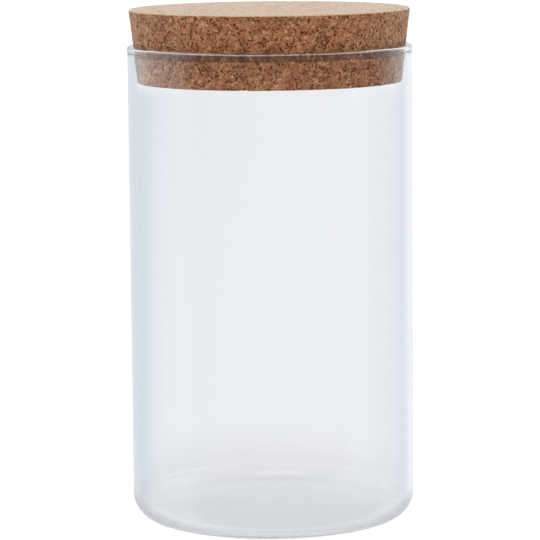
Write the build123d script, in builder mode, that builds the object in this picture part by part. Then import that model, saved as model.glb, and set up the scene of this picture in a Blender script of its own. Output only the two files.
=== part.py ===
"""Straight-sided storage jar of clear glass, closed by a tapered stopper of pressed cork.

The jar is one piece of glass: a drawn tube with a softly rounded heel, a slightly hollow
base that stands on a flat ring, and a fire-polished lip that swells a little on both sides.
The stopper is one turned block of cork granules. It is wider than the mouth at the top and
narrower at the low end, so it wedges on the lip's inner curve. There the glass has squeezed
a waist into it, and the cork stands slightly proud again just below.

Millimetres, +Z up. The origin is the centre of the plane that the jar stands on.
"""

import os
from math import acos, cos, degrees, radians, sin

from build123d import *

# Glass jar
jar_diameter = 100.0  # outside of the straight wall
jar_height = 168.25  # standing plane to the crest of the lip
wall = 2.0
floor_thickness = 2.6
heel_radius = 9.0  # outer rounding from wall to base
inner_heel_radius = 6.5
foot_width = 4.5  # flat ring that the jar stands on
push_up = 1.3  # rise of the hollow base at its centre
lip_swell_out = 0.2  # bead on the lip, outside the wall
lip_swell_in = 0.12  # the same, inside
lip_blend = 12.0  # radius of the curves that lead from the wall into the bead

# Cork stopper
stopper_height = 25.6
stopper_proud = 12.8  # stands this far above the lip
top_spread = 1.5  # radius at the top, beyond that of the mouth
tip_relief = 1.3  # radius at the low end, short of that of the mouth
seat_gap = 0.3  # between the squeezed waist and the lip
ridge_step = 0.1  # cork standing proud of the waist, just below the lip
ridge_drop = 1.2  # from the widest part of the lip bead down to that ridge
ridge_slope = 0.4  # height in which the ridge falls back to the waist
shoulder_wrap = 36.0  # degrees of the lip bead that the shoulder follows
shoulder_round = 1.2
top_edge_round = 0.5
low_edge_round = 0.7

# Jar section, worked out from the sizes above
jar_radius = jar_diameter / 2
bore_radius = jar_radius - wall
foot_inner_radius = jar_radius - heel_radius - foot_width
lip_radius = (wall + lip_swell_out + lip_swell_in) / 2
lip_centre_radius = jar_radius + lip_swell_out - lip_radius
lip_centre_height = jar_height - lip_radius
blend_reach = lip_blend + lip_radius
outer_flare = acos(1 - lip_swell_out / blend_reach)
inner_flare = acos(1 - lip_swell_in / blend_reach)
outer_wall_top = lip_centre_height - blend_reach * sin(outer_flare)
mouth_radius = bore_radius - lip_swell_in

# Stopper section
stopper_top = jar_height + stopper_proud
stopper_low = stopper_top - stopper_height
waist_radius = mouth_radius - seat_gap
ridge_radius = waist_radius + ridge_step
ridge_height = lip_centre_height - ridge_drop
shoulder_radius = lip_radius + seat_gap
shoulder_end = (
    lip_centre_radius - shoulder_radius * cos(radians(shoulder_wrap)),
    lip_centre_height + shoulder_radius * sin(radians(shoulder_wrap)),
)


def corner(point):
    """The vertex of the sketch in hand that lies at a point of its outline."""
    return vertices().sort_by_distance(point)[0]


# The jar: half of its section, revolved
with BuildPart() as glass_jar:
    with BuildSketch(Plane.XZ):
        with BuildLine():
            hollow = TangentArc((0, push_up), (foot_inner_radius, 0), tangent=(1, 0))
            foot = Line(hollow @ 1, (jar_radius, 0))
            outer_wall = Line(foot @ 1, (jar_radius, outer_wall_top))
            outer_blend = JernArc(outer_wall @ 1, outer_wall % 1, lip_blend, -degrees(outer_flare))
            bead_turn = 180 + degrees(outer_flare) + degrees(inner_flare)
            bead = JernArc(outer_blend @ 1, outer_blend % 1, lip_radius, bead_turn)
            inner_blend = JernArc(bead @ 1, bead % 1, lip_blend, -degrees(inner_flare))
            inner_wall = Line(inner_blend @ 1, (bore_radius, floor_thickness))
            floor_ring = Line(inner_wall @ 1, (foot_inner_radius, floor_thickness))
            floor_dome = TangentArc(
                (0, floor_thickness + push_up), floor_ring @ 1, tangent=(1, 0)
            )
            Line(floor_dome @ 0, hollow @ 0)
        make_face()
        fillet(corner((jar_radius, 0)), heel_radius)
        fillet(corner((bore_radius, floor_thickness)), inner_heel_radius)
    revolve(axis=Axis.Z)

# The stopper: its section has the squeezed waist and the shoulder that sits on the lip
with BuildPart() as cork_stopper:
    with BuildSketch(Plane.XZ):
        with BuildLine():
            low_face = Line((0, stopper_low), (mouth_radius - tip_relief, stopper_low))
            cone = Line(low_face @ 1, (ridge_radius, ridge_height))
            ridge = Line(cone @ 1, (waist_radius, ridge_height + ridge_slope))
            waist = Line(ridge @ 1, (waist_radius, lip_centre_height))
            shoulder = JernArc(waist @ 1, waist % 1, shoulder_radius, -shoulder_wrap)
            flank = Line(shoulder @ 1, (mouth_radius + top_spread, stopper_top))
            top_face = Line(flank @ 1, (0, stopper_top))
            Line(top_face @ 1, low_face @ 0)
        make_face()
        fillet(corner(low_face @ 1), low_edge_round)
        fillet(corner(shoulder_end), shoulder_round)
        fillet(corner(flank @ 1), top_edge_round)
    revolve(axis=Axis.Z)

os.makedirs("parts", exist_ok=True)
for piece, label in ((glass_jar, "glass_jar"), (cork_stopper, "cork_stopper")):
    piece.part.label = label
    export_step(piece.part, f"parts/{label}.step")
    size = piece.part.bounding_box().size
    volume = piece.part.volume
    print(f"{label}: {size.X:.2f} x {size.Y:.2f} x {size.Z:.2f} mm, {volume:.0f} mm3")
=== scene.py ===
from math import acos, cos, degrees, pi, radians, sin

import bmesh
import bpy
from mathutils import Matrix, Vector, noise


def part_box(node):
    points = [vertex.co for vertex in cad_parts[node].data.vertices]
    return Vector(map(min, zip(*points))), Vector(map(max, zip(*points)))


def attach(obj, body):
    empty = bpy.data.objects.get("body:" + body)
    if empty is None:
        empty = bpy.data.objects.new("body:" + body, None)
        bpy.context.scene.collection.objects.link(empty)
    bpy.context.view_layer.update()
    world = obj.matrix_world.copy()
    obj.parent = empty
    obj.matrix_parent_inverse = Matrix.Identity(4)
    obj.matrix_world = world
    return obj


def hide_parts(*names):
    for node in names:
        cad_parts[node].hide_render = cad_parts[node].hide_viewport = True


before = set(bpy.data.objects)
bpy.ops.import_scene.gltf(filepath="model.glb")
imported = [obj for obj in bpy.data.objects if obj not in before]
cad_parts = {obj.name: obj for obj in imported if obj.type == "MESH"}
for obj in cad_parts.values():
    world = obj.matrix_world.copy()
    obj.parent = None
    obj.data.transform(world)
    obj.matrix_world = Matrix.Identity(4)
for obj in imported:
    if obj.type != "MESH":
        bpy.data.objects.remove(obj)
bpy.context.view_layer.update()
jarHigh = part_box("glass_jar")[1]
corkLow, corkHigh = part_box("cork_stopper")
mm = 0.001  # everything below is in metres
print("frame loaded, jar", [round(v / mm, 1) for v in jarHigh], "mm")


# colours

def tone(red, green, blue):
    # a colour as given on screen, 0 to 255, as the linear colour that shaders want
    def linear(value):
        value = value / 255
        return value / 12.92 if value <= 0.04045 else ((value + 0.055) / 1.055) ** 2.4
    return (linear(red), linear(green), linear(blue), 1)


def grey(level):
    return (level, level, level, 1)


def coolGrey(level):
    # a light grey, the bluer the darker it is
    return (level, level * (1.2175 - 0.2117 * level), level * (1.4414 - 0.4167 * level), 1)


# turned shapes, from a section of points (distance from the axis, height)

def arcPoints(centre, radius, start, end, steps):
    # part of a circle in the section plane, angles in degrees from the outward direction
    angles = [radians(start + (end - start) * i / steps) for i in range(steps + 1)]
    return [(centre[0] + radius * cos(a), centre[1] + radius * sin(a)) for a in angles]


def linePoints(start, end, steps):
    shares = [i / steps for i in range(steps + 1)]
    return [(start[0] + (end[0] - start[0]) * t, start[1] + (end[1] - start[1]) * t) for t in shares]


def domePoints(reach, rise, floor, steps):
    # a shallow dome from the axis out to its rim, level at both
    shares = [i / steps for i in range(steps + 1)]
    return [(reach * t, floor + rise * (0.5 + 0.5 * cos(pi * t))) for t in shares]


def chain(*runs):
    # joins runs of points end to end and leaves out the doubles
    points = []
    for run in runs:
        for point in run:
            if not points or abs(point[0] - points[-1][0]) + abs(point[1] - points[-1][1]) > 1e-6:
                points.append(point)
    return points


def turnSection(points, segments, wedges=12):
    # spins a section about the upright axis: one wedge, because a long spin is slow, then its copies
    bm = bmesh.new()
    ring = [bm.verts.new((r, 0, z)) for r, z in points]
    edges = [bm.edges.new(pair) for pair in zip(ring, ring[1:])]
    bmesh.ops.spin(
        bm, geom=ring + edges, cent=(0, 0, 0), axis=(0, 0, 1), dvec=(0, 0, 0),
        angle=2 * pi / wedges, steps=segments // wedges, use_merge=False, use_duplicate=False,
    )
    wedge = bm.verts[:] + bm.edges[:] + bm.faces[:]
    for i in range(1, wedges):
        copied = bmesh.ops.duplicate(bm, geom=wedge)["geom"]
        corners = [part for part in copied if isinstance(part, bmesh.types.BMVert)]
        turn = Matrix.Rotation(2 * pi * i / wedges, 3, "Z")
        bmesh.ops.rotate(bm, cent=(0, 0, 0), matrix=turn, verts=corners)
    bmesh.ops.remove_doubles(bm, verts=bm.verts, dist=1e-6)
    bmesh.ops.recalc_face_normals(bm, faces=bm.faces)
    return bm


def makePiece(bm, name, material, smooth=True):
    mesh = bpy.data.meshes.new(name)
    bm.to_mesh(mesh)
    bm.free()
    mesh.materials.append(material)
    for polygon in mesh.polygons:
        polygon.use_smooth = smooth
    piece = bpy.data.objects.new(name, mesh)
    bpy.context.collection.objects.link(piece)
    return piece


# shader nodes

def newMaterial(name):
    material = bpy.data.materials.new(name)
    material.use_nodes = True
    nodes = material.node_tree.nodes
    return material, nodes, material.node_tree.links, nodes["Principled BSDF"]


def plug(links, value, socket):
    # a value is another node's output or something fixed
    if isinstance(value, bpy.types.NodeSocket):
        links.new(value, socket)
    else:
        socket.default_value = value


def mathNode(nodes, links, operation, *values, clamp=False):
    node = nodes.new("ShaderNodeMath")
    node.operation = operation
    node.use_clamp = clamp
    for value, socket in zip(values, node.inputs):
        plug(links, value, socket)
    return node.outputs[0]


def plus(nodes, links, first, second):
    return mathNode(nodes, links, "ADD", first, second)


def times(nodes, links, first, second):
    return mathNode(nodes, links, "MULTIPLY", first, second)


def mixNode(nodes, links, factor, first, second, blend="MIX"):
    mix = nodes.new("ShaderNodeMix")
    mix.data_type = "RGBA"
    mix.blend_type = blend
    plug(links, factor, mix.inputs[0])
    plug(links, first, mix.inputs[6])
    plug(links, second, mix.inputs[7])
    return mix.outputs[2]


def rangeNode(nodes, links, value, low, high, curve="SMOOTHSTEP"):
    # from 0 to 1 as the value goes from low to high
    node = nodes.new("ShaderNodeMapRange")
    node.interpolation_type = curve
    node.inputs["From Min"].default_value = low
    node.inputs["From Max"].default_value = high
    links.new(value, node.inputs["Value"])
    return node.outputs["Result"]


def rampNode(nodes, links, value, stops, curve="LINEAR"):
    ramp = nodes.new("ShaderNodeValToRGB")
    ramp.color_ramp.interpolation = curve
    elements = ramp.color_ramp.elements
    while len(elements) < len(stops):
        elements.new(0.5)
    for element, (place, colour) in zip(elements, stops):
        element.position = place
        element.color = colour
    links.new(value, ramp.inputs["Fac"])
    return ramp.outputs["Color"]


def noiseNode(nodes, links, coordinate, scale, detail=3, rough=0.55):
    texture = nodes.new("ShaderNodeTexNoise")
    texture.inputs["Scale"].default_value = scale
    texture.inputs["Detail"].default_value = detail
    texture.inputs["Roughness"].default_value = rough
    links.new(coordinate, texture.inputs["Vector"])
    return texture


def cellNode(nodes, links, coordinate, scale, feature="F1"):
    cells = nodes.new("ShaderNodeTexVoronoi")
    cells.feature = feature
    cells.inputs["Scale"].default_value = scale
    links.new(coordinate, cells.inputs["Vector"])
    return cells


def attributeNode(nodes, name):
    node = nodes.new("ShaderNodeAttribute")
    node.attribute_name = name
    return node.outputs["Fac"]


def splitNode(nodes, links, coordinate):
    split = nodes.new("ShaderNodeSeparateXYZ")
    links.new(coordinate, split.inputs["Vector"])
    return split.outputs


def squashNode(nodes, links, coordinate, share):
    # squashes the heights, so that a pattern runs up the piece
    squash = nodes.new("ShaderNodeMapping")
    squash.inputs["Scale"].default_value = (1, 1, share)
    links.new(coordinate, squash.inputs["Vector"])
    return squash.outputs["Vector"]


def addBump(nodes, links, shader, height, strength, distance):
    bump = nodes.new("ShaderNodeBump")
    bump.inputs["Strength"].default_value = strength
    bump.inputs["Distance"].default_value = distance
    links.new(height, bump.inputs["Height"])
    links.new(bump.outputs["Normal"], shader.inputs["Normal"])


# camera, far off and a little above, leaning slightly as in the photograph

cameraSettings = {
    "distance": 1.136,  # in front of the axis of the jar
    "height": 0.240,
    "lens": 215.2,
    "sensor": 36.0,
    "lookDown": 7.61,  # degrees, like the turn and the lean
    "turn": 0.028,
    "lean": -0.532,
}


def addCamera(settings):
    data = bpy.data.cameras.new("studioCamera")
    data.lens = settings["lens"]
    data.sensor_width = settings["sensor"]
    data.clip_end = 20
    camera = bpy.data.objects.new("studioCamera", data)
    bpy.context.collection.objects.link(camera)
    tilt = Matrix.Rotation(radians(90 - settings["lookDown"]), 4, "X")
    lean = Matrix.Rotation(radians(settings["lean"]), 4, "Z")
    place = Matrix.Translation((0, -settings["distance"], settings["height"]))
    turn = Matrix.Rotation(radians(settings["turn"]), 4, "Z")
    camera.matrix_world = place @ turn @ tilt @ lean
    bpy.context.scene.camera = camera


addCamera(cameraSettings)
print("camera placed")


# glass jar

glassSettings = {
    "wall": 2.0 * mm,
    "floorThickness": 2.6 * mm,
    "heelRadius": 9.0 * mm,
    "innerHeelRadius": 6.5 * mm,
    "footWidth": 4.5 * mm,
    "pushUp": 1.3 * mm,  # rise of the hollow base
    "lipSwellOut": 0.2 * mm,
    "lipSwellIn": 0.12 * mm,
    "lipBlend": 12.0 * mm,
    "segments": 288,
    "wallRings": 24,
    "ripple": 0.022 * mm,  # uneven wall of drawn glass, on the inside only
    "waves": [  # its ripples: how many go round the jar, where they start, and their share
        (3, 0.4, 0.3), (5, 2.1, 0.25), (8, 5.0, 0.16), (13, 1.2, 0.1), (21, 3.7, 0.07), (34, 0.9, 0.04),
    ],
    "waveTwist": 0.8,  # radians from the foot to the lip
    "evenTop": 5 * mm,  # no ripples so near the lip
    "tint": (0.985, 0.99, 0.995, 1),
    "ior": 1.47,
    "baseRoughness": 0.15,  # the moulded base is not quite as smooth as the drawn wall
    "smearRoughness": 0.03,
    "smearScale": 45,
    "streakScale": 260,
    "streakSquash": 0.03,
    "streakDepth": 0.05 * mm,
}


def lipRadius(settings):
    # of the round bead that the lip is thickened into
    return (settings["wall"] + settings["lipSwellOut"] + settings["lipSwellIn"]) / 2


def glassSection(settings, outerRadius, height):
    # from under the middle of the base, out, up, over the lip and back down inside
    blend = settings["lipBlend"]
    bore = outerRadius - settings["wall"]
    heel = settings["heelRadius"]
    innerHeel = settings["innerHeelRadius"]
    floor = settings["floorThickness"]
    foot = outerRadius - heel - settings["footWidth"]
    lip = lipRadius(settings)
    lipCentre = (outerRadius + settings["lipSwellOut"] - lip, height - lip)
    flareOut = acos(1 - settings["lipSwellOut"] / (blend + lip))
    flareIn = acos(1 - settings["lipSwellIn"] / (blend + lip))
    topOut = lipCentre[1] - (blend + lip) * sin(flareOut)
    topIn = lipCentre[1] - (blend + lip) * sin(flareIn)
    rings = settings["wallRings"]
    return chain(
        domePoints(foot, settings["pushUp"], 0, 14),
        linePoints((foot, 0), (outerRadius - heel, 0), 3),
        arcPoints((outerRadius - heel, heel), heel, -90, 0, 22),
        linePoints((outerRadius, heel), (outerRadius, topOut), rings),
        arcPoints((outerRadius + blend, topOut), blend, 180, 180 - degrees(flareOut), 6),
        arcPoints(lipCentre, lip, -degrees(flareOut), 180 + degrees(flareIn), 30),
        arcPoints((bore - blend, topIn), blend, degrees(flareIn), 0, 6),
        linePoints((bore, topIn), (bore, floor + innerHeel), rings),
        arcPoints((bore - innerHeel, floor + innerHeel), innerHeel, 0, -90, 18),
        linePoints((bore - innerHeel, floor), (foot, floor), 3),
        domePoints(foot, settings["pushUp"], floor, 14)[::-1],
    )


def rippleInside(bm, settings, bore, low, high):
    # drawn glass is never quite even: the inside wall gets faint upright ripples
    onWall = 0.05 * mm
    for vert in bm.verts:
        flat = Vector((vert.co.x, vert.co.y))
        if abs(flat.length - bore) > onWall or not low <= vert.co.z <= high:
            continue
        around = flat.angle_signed(Vector((1, 0)))
        up = (vert.co.z - low) / (high - low)
        twist = settings["waveTwist"] * up
        swell = sum(share * sin(count * around + start + twist) for count, start, share in settings["waves"])
        fade = min(1, 8 * up, 8 * (1 - up))
        flat *= 1 + settings["ripple"] * swell * fade / bore
        vert.co.x, vert.co.y = flat


def glassMaterial(settings):
    material, nodes, links, shader = newMaterial("clearGlass")
    shader.inputs["Base Color"].default_value = settings["tint"]
    shader.inputs["Transmission Weight"].default_value = 1
    shader.inputs["IOR"].default_value = settings["ior"]
    coordinate = nodes.new("ShaderNodeTexCoord").outputs["Object"]

    smears = noiseNode(nodes, links, coordinate, settings["smearScale"]).outputs["Fac"]
    rough = rampNode(nodes, links, smears, [(0.35, grey(0)), (0.75, grey(settings["smearRoughness"]))])
    height = splitNode(nodes, links, coordinate)["Z"]
    heel = settings["heelRadius"]
    base = rangeNode(nodes, links, height, heel * 1.4, heel * 0.7)
    base = times(nodes, links, base, settings["baseRoughness"])
    links.new(plus(nodes, links, rough, base), shader.inputs["Roughness"])

    upright = squashNode(nodes, links, coordinate, settings["streakSquash"])
    streaks = noiseNode(nodes, links, upright, settings["streakScale"], 2).outputs["Fac"]
    addBump(nodes, links, shader, streaks, 0.05, settings["streakDepth"])
    return material


def buildGlass(settings):
    outerRadius = jarHigh.x - settings["lipSwellOut"]
    bore = outerRadius - settings["wall"]
    bm = turnSection(glassSection(settings, outerRadius, jarHigh.z), settings["segments"])
    low = settings["floorThickness"] + settings["innerHeelRadius"]
    rippleInside(bm, settings, bore, low, jarHigh.z - settings["evenTop"])
    piece = makePiece(bm, "glassJar", glassMaterial(settings))
    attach(piece, "jar")
    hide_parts("glass_jar")
    return piece


glassJar = buildGlass(glassSettings)
print("glass jar turned,", len(glassJar.data.polygons), "faces")


# cork stopper

corkSettings = {
    "mouthRadius": 47.88 * mm,
    "topSpread": 1.5 * mm,
    "tipRelief": 1.3 * mm,
    "seatGap": 0.3 * mm,
    "ridgeStep": 0.1 * mm,
    "ridgeDrop": 1.2 * mm,
    "ridgeSlope": 0.4 * mm,
    "shoulderWrap": 36,  # degrees round the bead of the lip
    "topEdge": 0.5 * mm,
    "lowEdge": 0.7 * mm,
    "segments": 600,
    "sideStep": 0.48 * mm,  # size of the faces, here and on the top and underneath
    "topStep": 0.85 * mm,
    "lowStep": 1.4 * mm,
    # relief
    "seed": 3,  # any other whole number above 0 gives other grains
    "granule": 2.4 * mm,  # size of the larger granules
    "grit": 1.0 * mm,  # and of the small ones between them
    "creviceDepth": 0.26 * mm,
    "crevicePatch": 3.1 * mm,  # crevices come in patches of this size
    "finePatch": 1.7 * mm,  # and fine ones in these
    "voidDepth": 0.42 * mm,
    "voidEdge": 0.45 * mm,  # raggedness of a lost grain's edge
    "chipDepth": 0.22 * mm,  # worn edges
    "chipSize": 1.3 * mm,
    # scales of the finer pattern, per metre
    "speckleScale": 1500,
    "bendScale": 1300,
    "bitScale": 880,
    "spotScale": 640,
    "sliverScale": 1250,
    "crackScale": 1150,
    "looseScale": 330,
    "blotScale": 420,
    "bend": 0.55 * mm,  # how far the small granules are bent out of shape
    # colours
    "granuleTones": [
        (0.0, tone(119, 72, 46)), (0.25, tone(134, 83, 53)), (0.5, tone(145, 93, 61)),
        (0.75, tone(153, 103, 71)), (1.0, tone(166, 120, 86)),
    ],
    "gritTones": [(0.0, tone(122, 74, 48)), (0.6, tone(147, 95, 62)), (1.0, tone(173, 127, 91))],
    "gritShare": 0.42,
    "bitTints": [(0.1, (0.72, 0.7, 0.68, 1)), (0.5, grey(1)), (0.9, (1.18, 1.2, 1.24, 1))],
    "bitShare": 0.65,
    "spotTints": [(0.28, (0.985, 1.1, 1.04, 1)), (0.5, grey(1)), (0.72, (1.02, 0.9, 0.97, 1))],
    "spotShare": 0.8,
    "grainTone": tone(190, 152, 114),
    "grainShare": 0.45,
    # paler cork with a painted highlight, along the seams
    "sliverAndHighlightTone": tone(200, 158, 118),
    "sliverAndHighlightShare": 0.58,
    # darker cork with painted shade, in cracks, holes and crevices
    "darkCorkAndShadeTone": tone(52, 24, 10),
    "crackShadeShare": 0.85,
    "dustAndSheenTones": [(0.3, tone(163, 160, 153)), (0.7, tone(174, 157, 139))],
    "dustAndSheenShare": 0.62,  # dust with a painted sheen, on the sanded top
    # painted highlight on the rounded rim of the top
    "rimHighlightTone": tone(206, 176, 138),
    "rimHighlightShare": 0.6,
    # painted light on the cork behind the glass
    "paintedLightBehindGlass": (1.22, 1.235, 1.24, 1),
    # painted shade on the cork just below the lip
    "lipShadeTone": tone(70, 34, 16),
    "lipShadeDrop": 1.9 * mm,  # middle of the painted shade strip, below the lip
    "shine": 0.12,
    "sheen": 0.28,
    "sheenTint": (1, 0.9, 0.72, 1),
}


def corkSection(settings):
    # the same turned shape as the solid, with its round edges and the waist that the lip squeezes
    lip = lipRadius(glassSettings)
    lipCentre = (jarHigh.x - lip, jarHigh.z - lip)
    mouth = settings["mouthRadius"]
    waist = mouth - settings["seatGap"]
    ridge = (waist + settings["ridgeStep"], lipCentre[1] - settings["ridgeDrop"])
    ridgeTop = (waist, ridge[1] + settings["ridgeSlope"])
    shoulder = lip + settings["seatGap"]
    top, low = corkHigh.z, corkLow.z
    rim = mouth + settings["topSpread"]
    tip = mouth - settings["tipRelief"]
    topEdge, lowEdge = settings["topEdge"], settings["lowEdge"]
    side = settings["sideStep"]
    shoulderRun = arcPoints(lipCentre, shoulder, 180, 180 - settings["shoulderWrap"], 5)
    flankRun = linePoints(shoulderRun[-1], (rim, top - topEdge), round((top - shoulderRun[-1][1]) / side))
    return chain(
        linePoints((0, low), (tip - lowEdge, low), round(tip / settings["lowStep"])),
        arcPoints((tip - lowEdge, low + lowEdge), lowEdge, -90, 0, 3),
        linePoints((tip, low + lowEdge), ridge, round((ridge[1] - low) / side)),
        linePoints(ridge, ridgeTop, 1),
        linePoints(ridgeTop, (waist, lipCentre[1]), 2),
        shoulderRun,
        flankRun,
        arcPoints((rim - topEdge, top - topEdge), topEdge, 0, 90, 3),
        linePoints((rim - topEdge, top), (0, top), round(rim / settings["topStep"])),
    )


def grainAt(place, size, drift):
    # how far a place is from the edge and the middle of its granule, and which granule that is
    p = place / size
    p = p + drift * noise.noise_vector(p * 0.9)
    distances, centres = noise.voronoi(p)
    return distances[1] - distances[0], distances[0], noise.cell(centres[0] * 5.3)


def smoothStep(low, high, value):
    t = min(1, max(0, (value - low) / (high - low)))
    return t * t * (3 - 2 * t)


def patchAt(place, size, low, high):
    # 0 to 1, in soft patches of about this size
    return smoothStep(low, high, noise.noise(place / size))


def roughenCork(bm, settings):
    # presses granules into the turned block: crevices, lost grains and worn edges, inwards only
    noise.seed_set(settings["seed"])  # without it the grains would change from run to run
    names = ("granule", "grit", "crevice", "sanded", "rim")
    layers = {name: bm.verts.layers.float.new(name) for name in names}
    bm.normal_update()
    moves = []
    for vert in bm.verts:
        place, facing = vert.co, vert.normal.z
        gap, _, which = grainAt(place, settings["granule"], 0.7)
        smallGap, smallNear, smallWhich = grainAt(place, settings["grit"], 0.5)
        crevice = (1 - smoothStep(0.02, 0.2, gap)) * patchAt(place, settings["crevicePatch"], -0.15, 0.35)
        fine = (1 - smoothStep(0.0, 0.22, smallGap)) * patchAt(place, settings["finePatch"], 0.0, 0.5)
        ragged = smallNear + 0.35 * noise.noise(place / settings["voidEdge"])
        lost = smoothStep(0.6, 0.8, smallWhich) * (1 - smoothStep(0.16, 0.36, ragged))
        sanded = smoothStep(0.7, 0.98, facing)
        edge = smoothStep(0.15, 0.5, abs(facing)) * (1 - smoothStep(0.8, 1.0, abs(facing)))
        chip = edge * patchAt(place, settings["chipSize"], 0.0, 0.5)
        depth = settings["creviceDepth"] * max(crevice, 0.5 * fine) * (1 - 0.5 * sanded)
        depth += settings["voidDepth"] * lost * (1 - 0.6 * sanded)
        depth += settings["chipDepth"] * chip
        vert[layers["granule"]] = 0.5 + 0.5 * which
        vert[layers["grit"]] = 0.5 + 0.5 * smallWhich
        vert[layers["crevice"]] = min(1, max(0.6 * crevice, 0.55 * fine, lost))
        vert[layers["sanded"]] = sanded
        # where the painted highlight of the top's rounded rim goes
        vert[layers["rim"]] = smoothStep(0.25, 0.6, facing) * (1 - smoothStep(0.9, 1.0, facing))
        moves.append((vert, vert.normal * -depth))
    for vert, move in moves:
        vert.co += move


def granuleColour(nodes, links, settings, speckle):
    # granules differ from tan to reddish brown
    spread = plus(nodes, links, attributeNode(nodes, "granule"), times(nodes, links, speckle, 0.5))
    centred = mathNode(nodes, links, "SUBTRACT", spread, 0.25, clamp=True)
    granules = rampNode(nodes, links, centred, settings["granuleTones"])
    grit = rampNode(nodes, links, attributeNode(nodes, "grit"), settings["gritTones"])
    return mixNode(nodes, links, settings["gritShare"], granules, grit)


def fineColour(nodes, links, settings, coordinate, colour):
    # crisp small granules, cracks and pale slivers, all finer than the mesh
    bend = nodes.new("ShaderNodeVectorMath")
    bend.operation = "MULTIPLY_ADD"
    swirl = noiseNode(nodes, links, coordinate, settings["bendScale"], 2)
    links.new(swirl.outputs["Color"], bend.inputs[0])
    bend.inputs[1].default_value = (settings["bend"],) * 3
    links.new(coordinate, bend.inputs[2])
    bent = bend.outputs[0]

    # small granules, darker and paler, then larger spots, greener and redder
    bits = cellNode(nodes, links, bent, settings["bitScale"]).outputs["Color"]
    bitTints = rampNode(nodes, links, bits, settings["bitTints"])
    colour = mixNode(nodes, links, settings["bitShare"], colour, bitTints, "MULTIPLY")
    spots = cellNode(nodes, links, bent, settings["spotScale"])
    spot, fromMiddle = spots.outputs["Color"], spots.outputs["Distance"]
    spotTints = rampNode(nodes, links, spot, settings["spotTints"])
    colour = mixNode(nodes, links, settings["spotShare"], colour, spotTints, "MULTIPLY")

    # pale grains in some of the spots, and pale slivers along the seams of the small granules: paler cork
    # with a painted highlight
    chosen = rangeNode(nodes, links, spot, 0.33, 0.29)
    grains = times(nodes, links, chosen, rangeNode(nodes, links, fromMiddle, 0.42, 0.3))
    grains = times(nodes, links, grains, settings["grainShare"])
    colour = mixNode(nodes, links, grains, colour, settings["grainTone"])
    edge = cellNode(nodes, links, bent, settings["bitScale"], "DISTANCE_TO_EDGE").outputs["Distance"]
    seam = rangeNode(nodes, links, edge, 0.2, 0.07)
    shreds = noiseNode(nodes, links, coordinate, settings["sliverScale"], 2, 0.5)
    shreds.noise_dimensions = "4D"
    shreds.inputs["W"].default_value = 3.7
    sliversAndHighlights = times(nodes, links, seam, rangeNode(nodes, links, shreds.outputs["Fac"], 0.56, 0.66))
    sliversAndHighlights = times(nodes, links, sliversAndHighlights, settings["sliverAndHighlightShare"])
    colour = mixNode(nodes, links, sliversAndHighlights, colour, settings["sliverAndHighlightTone"])

    # where the grains sit less tightly there are more cracks and holes
    loose = noiseNode(nodes, links, coordinate, settings["looseScale"], 2, 0.5).outputs["Fac"]
    loose = mathNode(nodes, links, "SUBTRACT", loose, 0.5)
    gaps = noiseNode(nodes, links, coordinate, settings["crackScale"], 2, 0.5).outputs["Fac"]
    gaps = plus(nodes, links, gaps, times(nodes, links, loose, 0.25))
    cracks = times(nodes, links, seam, rangeNode(nodes, links, gaps, 0.52, 0.61))
    missing = plus(nodes, links, times(nodes, links, loose, 0.7), spot)
    missing = rangeNode(nodes, links, missing, 0.58, 0.64)
    holes = times(nodes, links, missing, rangeNode(nodes, links, fromMiddle, 0.3, 0.2))
    cracks = mathNode(nodes, links, "MAXIMUM", cracks, holes)
    # the cracks and holes get darker cork with painted shade
    share = times(nodes, links, cracks, settings["crackShadeShare"])
    colour = mixNode(nodes, links, share, colour, settings["darkCorkAndShadeTone"])
    return colour, cracks, spot


def wearAndPaintedLight(nodes, links, settings, coordinate, colour, spot):
    # the sanded top is paler and more even, from dust and a painted sheen, and its rounded rim has a painted
    # highlight
    sanded = times(nodes, links, attributeNode(nodes, "sanded"), settings["dustAndSheenShare"])
    dustAndSheen = rampNode(nodes, links, spot, settings["dustAndSheenTones"])
    colour = mixNode(nodes, links, sanded, colour, dustAndSheen)
    # painted highlight on the rounded rim
    rim = times(nodes, links, attributeNode(nodes, "rim"), settings["rimHighlightShare"])
    colour = mixNode(nodes, links, rim, colour, settings["rimHighlightTone"])

    # painted light: the cork behind the glass, below the lip, is made brighter
    height = splitNode(nodes, links, coordinate)["Z"]
    behindGlassLight = rangeNode(nodes, links, height, jarHigh.z - 1 * mm, jarHigh.z - 3 * mm)
    colour = mixNode(nodes, links, behindGlassLight, colour, settings["paintedLightBehindGlass"], "MULTIPLY")

    # painted shade: a darker, blotchy strip on the cork just below the lip
    away = mathNode(nodes, links, "SUBTRACT", height, jarHigh.z - settings["lipShadeDrop"])
    away = mathNode(nodes, links, "ABSOLUTE", away)
    lipShadeStrip = rangeNode(nodes, links, away, 1.3 * mm, 0.9 * mm, "LINEAR")
    upright = squashNode(nodes, links, coordinate, 0.2)
    blots = noiseNode(nodes, links, upright, settings["blotScale"], 3, 0.6).outputs["Fac"]
    # blots that make the painted shade uneven
    pressed = times(nodes, links, rangeNode(nodes, links, blots, 0.3, 0.65), 0.7)
    share = times(nodes, links, lipShadeStrip, plus(nodes, links, pressed, 0.15))
    return mixNode(nodes, links, share, colour, settings["lipShadeTone"])


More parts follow.
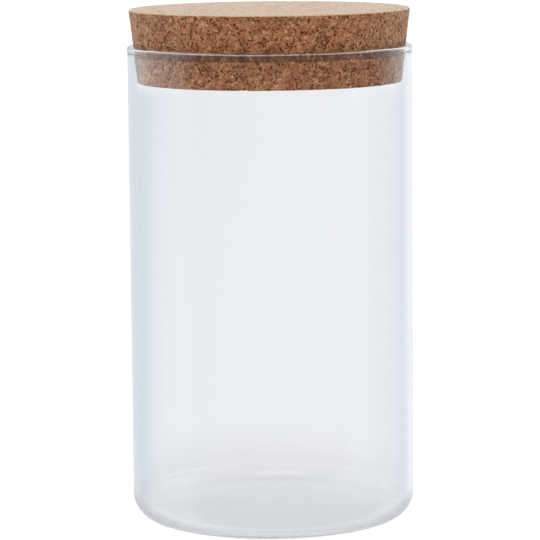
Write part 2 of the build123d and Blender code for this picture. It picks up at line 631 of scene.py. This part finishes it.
def corkMaterial(settings):
    material, nodes, links, shader = newMaterial("pressedCork")
    coordinate = nodes.new("ShaderNodeTexCoord").outputs["Object"]
    speckle = noiseNode(nodes, links, coordinate, settings["speckleScale"], 3, 0.6).outputs["Fac"]
    colour = granuleColour(nodes, links, settings, speckle)
    colour, cracks, spot = fineColour(nodes, links, settings, coordinate, colour)
    # painted shade: the crevices and lost grains pressed into the mesh are darkened as well
    creviceShade = rampNode(nodes, links, attributeNode(nodes, "crevice"), [(0.15, grey(0)), (0.75, grey(0.85))])
    colour = mixNode(nodes, links, creviceShade, colour, settings["darkCorkAndShadeTone"])
    colour = wearAndPaintedLight(nodes, links, settings, coordinate, colour, spot)
    links.new(colour, shader.inputs["Base Color"])

    broad = noiseNode(nodes, links, coordinate, 240, 2).outputs["Fac"]
    roughness = rampNode(nodes, links, broad, [(0.3, grey(0.72)), (0.7, grey(0.9))])
    links.new(roughness, shader.inputs["Roughness"])
    # nothing shines in the cracks and crevices
    hollow = mathNode(nodes, links, "MAXIMUM", cracks, creviceShade)
    proud = mathNode(nodes, links, "SUBTRACT", 1.0, hollow)
    links.new(times(nodes, links, proud, settings["shine"]), shader.inputs["Specular IOR Level"])
    links.new(times(nodes, links, proud, settings["sheen"]), shader.inputs["Sheen Weight"])
    shader.inputs["Sheen Roughness"].default_value = 0.55
    shader.inputs["Sheen Tint"].default_value = settings["sheenTint"]
    height = mathNode(nodes, links, "SUBTRACT", speckle, cracks)
    addBump(nodes, links, shader, height, 0.5, 0.12 * mm)
    return material


def buildCork(settings):
    bm = turnSection(corkSection(settings), settings["segments"])
    roughenCork(bm, settings)
    piece = makePiece(bm, "corkStopper", corkMaterial(settings))
    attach(piece, "stopper")
    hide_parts("cork_stopper")
    return piece


corkStopper = buildCork(corkSettings)
print("cork stopper pressed,", len(corkStopper.data.polygons), "faces")


# studio: pale floor, soft surroundings that the glass mirrors, and one large soft light

studioSettings = {
    "tableRadius": 0.0415,  # the part of the floor that shows through the glass
    "paintedFootShade": [  # painted shade round the foot of the jar, seen only through the glass, from the middle outwards
        (0.0, (0.722, 0.732, 0.742, 1)), (0.75, (0.712, 0.722, 0.737, 1)),
        (0.9, (0.735, 0.75, 0.77, 1)), (1.0, (0.78, 0.8, 0.825, 1)),
    ],
    "floorRadius": 3.2,
    "floorDrop": 0.04 * mm,
    "floorColour": grey(0.8),
    "cutOut": 1.06,  # the floor and backdrop as the camera sees them: plain white
    "footShade": 0.15,  # how much of the jar's shadow the camera still sees
    "lightSize": 1.3,
    "lightPower": 4.0,
    "lightPlace": (-0.12, -1.0, 1.35),
    "roomStrength": 0.9,
    "overhead": 0.8,  # how much brighter the room is straight above
    "softBox": 0.55,  # tall soft light at the left, mirrored in the glass, with a weaker one at the right
    "ceiling": 6.0,  # and the one above, which only the outside of the glass mirrors
    "tableShade": 0.152,  # how much darker the table in front of the backdrop is
}


def floorMaterial(settings):
    material, nodes, links, shader = newMaterial("paleFloor")
    shader.inputs["Base Color"].default_value = settings["floorColour"]
    shader.inputs["Roughness"].default_value = 0.9
    shader.inputs["Specular IOR Level"].default_value = 0
    distance = nodes.new("ShaderNodeVectorMath")
    distance.operation = "LENGTH"
    links.new(nodes.new("ShaderNodeTexCoord").outputs["Object"], distance.inputs[0])
    reach = mathNode(nodes, links, "DIVIDE", distance.outputs["Value"], settings["tableRadius"])
    # painted shade round the foot of the jar, as a glow: rays through the glass see only this, the camera
    # mostly plain white
    table = rampNode(nodes, links, reach, settings["paintedFootShade"], "EASE")
    path = nodes.new("ShaderNodeLightPath").outputs
    glow = nodes.new("ShaderNodeEmission")
    colour = mixNode(nodes, links, path["Is Camera Ray"], table, grey(settings["cutOut"]))
    links.new(colour, glow.inputs["Color"])
    mix = nodes.new("ShaderNodeMixShader")
    seen = times(nodes, links, path["Is Camera Ray"], 1 - settings["footShade"])
    links.new(plus(nodes, links, seen, path["Is Transmission Ray"]), mix.inputs["Fac"])
    links.new(shader.outputs["BSDF"], mix.inputs[1])
    links.new(glow.outputs["Emission"], mix.inputs[2])
    links.new(mix.outputs["Shader"], nodes["Material Output"].inputs["Surface"])
    return material


def addFloor(settings):
    material = floorMaterial(settings)
    near, far, level = settings["tableRadius"], settings["floorRadius"], -settings["floorDrop"]
    for name, inner, outer in (("table", 0, near), ("floor", near, far)):
        bm = turnSection([(inner, level), (outer, level)], 96)
        if bm.faces[:][0].normal.z < 0:
            bmesh.ops.reverse_faces(bm, faces=bm.faces)
        floor = makePiece(bm, name, material, smooth=False)
        floor.visible_glossy = False
        floor.visible_transmission = name == "table"


def mirroredRoom(nodes, links, settings, share, up, outside):
    # dark in front and pale behind, with tall soft lights at the left and right and one above
    front, side, flank = (0.1, 0.097, 0.093, 1), coolGrey(0.45), coolGrey(0.7)
    back = (0.88, 0.9, 0.93, 1)
    walls = rampNode(nodes, links, share, [
        (0.0, front), (0.17, front), (0.22, side), (0.36, side), (0.42, flank), (0.478, flank),
        (0.487, back), (0.57, back), (0.615, flank), (0.65, coolGrey(0.5)), (0.7, coolGrey(0.34)),
        (0.735, front),
    ])
    dark, lit, weak = grey(0), grey(1), grey(0.22)
    boxes = rampNode(nodes, links, share, [
        (0.19, dark), (0.215, lit), (0.36, lit), (0.39, dark),
        (0.62, dark), (0.66, weak), (0.69, weak), (0.71, dark),
    ])
    boxes = times(nodes, links, boxes, rangeNode(nodes, links, up, -0.0795, -0.0755))
    boxes = times(nodes, links, boxes, settings["softBox"])
    ceiling = times(nodes, links, rangeNode(nodes, links, up, 0.45, 0.8), settings["ceiling"])
    ceiling = times(nodes, links, ceiling, outside)

    # the far half of the room is pale, and brighter still where only the outside of the lip mirrors it
    farHalf = rampNode(nodes, links, share, [(0.13, dark), (0.22, lit), (0.78, lit), (0.87, dark)])
    upper = mixNode(nodes, links, outside, (0.85, 0.87, 0.9, 1), (1.45, 1.48, 1.52, 1))
    upper = mixNode(nodes, links, farHalf, (0.6, 0.57, 0.54, 1), upper)
    room = mixNode(nodes, links, rangeNode(nodes, links, up, 0.02, 0.25), walls, upper)
    room = mixNode(nodes, links, 1.0, room, plus(nodes, links, boxes, ceiling), "ADD")
    pale = rangeNode(nodes, links, walls, 0.1, 0.4)
    lower = times(nodes, links, rangeNode(nodes, links, up, -0.2, -0.35), pale)
    return mixNode(nodes, links, lower, room, (0.73, 0.745, 0.765, 1))


def seenRoom(nodes, links, settings, share, up):
    # the backdrop is a little darker towards its sides, and the table in front of it darker still
    clear, left, right = coolGrey(0.98), coolGrey(0.795), coolGrey(0.87)
    leaning = mathNode(nodes, links, "MULTIPLY_ADD", up, -0.09, -0.0113)
    leaning = times(nodes, links, leaning, mathNode(nodes, links, "LESS_THAN", share, 0.5))
    backdrop = rampNode(nodes, links, plus(nodes, links, share, leaning), [
        (0.36, clear), (0.42, left), (0.4715, left), (0.4765, coolGrey(0.83)), (0.4825, coolGrey(0.91)),
        (0.487, coolGrey(0.945)), (0.4925, coolGrey(0.965)), (0.498, clear), (0.506, coolGrey(0.99)),
        (0.5115, coolGrey(0.975)), (0.515, coolGrey(0.97)), (0.522, coolGrey(0.965)), (0.5285, right),
        (0.557, right), (0.58, clear),
    ])
    view = mixNode(nodes, links, rangeNode(nodes, links, up, -0.22, -0.3), backdrop, coolGrey(0.93))
    away = mathNode(nodes, links, "SUBTRACT", share, 0.498)
    away = mathNode(nodes, links, "ABSOLUTE", away)
    drop = plus(nodes, links, up, times(nodes, links, away, 0.4))
    table = times(nodes, links, rangeNode(nodes, links, drop, -0.1755, -0.194), -settings["tableShade"])
    return mixNode(nodes, links, 1.0, view, plus(nodes, links, table, 1), "MULTIPLY")


def addSurround(settings):
    # three soft rooms: one lights the cork, one is mirrored in the glass and one shows through it
    world = bpy.data.worlds.new("softRoom")
    world.use_nodes = True
    nodes, links = world.node_tree.nodes, world.node_tree.links
    direction = splitNode(nodes, links, nodes.new("ShaderNodeTexCoord").outputs["Generated"])
    up = direction["Z"]
    # the share of a turn: 0 and 1 are in front, 0.25 at the left, 0.5 behind and 0.75 at the right
    around = mathNode(nodes, links, "ARCTAN2", direction["X"], direction["Y"])
    share = plus(nodes, links, mathNode(nodes, links, "DIVIDE", around, 2 * pi), 0.5)

    path = nodes.new("ShaderNodeLightPath").outputs
    outside = mathNode(nodes, links, "LESS_THAN", path["Transmission Depth"], 0.5)
    mirrored = mirroredRoom(nodes, links, settings, share, up, outside)
    seen = seenRoom(nodes, links, settings, share, up)
    bounced = mathNode(nodes, links, "GREATER_THAN", path["Glossy Depth"], 0.5)
    colour = mixNode(nodes, links, bounced, seen, mirrored)
    direct = mathNode(nodes, links, "LESS_THAN", path["Diffuse Depth"], 0.5)
    direct = times(nodes, links, path["Is Glossy Ray"], direct)  # also true in glass
    colour = mixNode(nodes, links, direct, grey(1), colour)
    rise = mathNode(nodes, links, "MAXIMUM", up, 0)
    rise = mathNode(nodes, links, "POWER", rise, 2)
    strength = times(nodes, links, rise, settings["overhead"])
    strength = plus(nodes, links, strength, settings["roomStrength"])
    strength = mixNode(nodes, links, path["Is Camera Ray"], strength, grey(settings["cutOut"]))
    strength = mixNode(nodes, links, direct, strength, grey(1))
    background = nodes["Background"]
    links.new(colour, background.inputs["Color"])
    links.new(strength, background.inputs["Strength"])
    bpy.context.scene.world = world


def addSoftLight(settings):
    data = bpy.data.lights.new("softLight", "AREA")
    data.shape = "DISK"
    data.size = settings["lightSize"]
    data.energy = settings["lightPower"]
    light = bpy.data.objects.new("softLight", data)
    bpy.context.collection.objects.link(light)
    light.location = settings["lightPlace"]
    aim = Vector((0, 0, jarHigh.z / 2)) - light.location
    light.rotation_mode = "QUATERNION"
    light.rotation_quaternion = aim.to_track_quat("-Z", "Y")
    light.visible_camera = False


addFloor(studioSettings)
addSurround(studioSettings)
addSoftLight(studioSettings)
scene = bpy.context.scene
scene.view_settings.view_transform = "Standard"
scene.cycles.blur_glossy = 0  # or light would hardly reach the cork behind the glass
scene.cycles.max_bounces = 64  # light runs far inside the glass of the base
scene.cycles.glossy_bounces = 48
scene.cycles.transmission_bounces = 48
print("studio set")
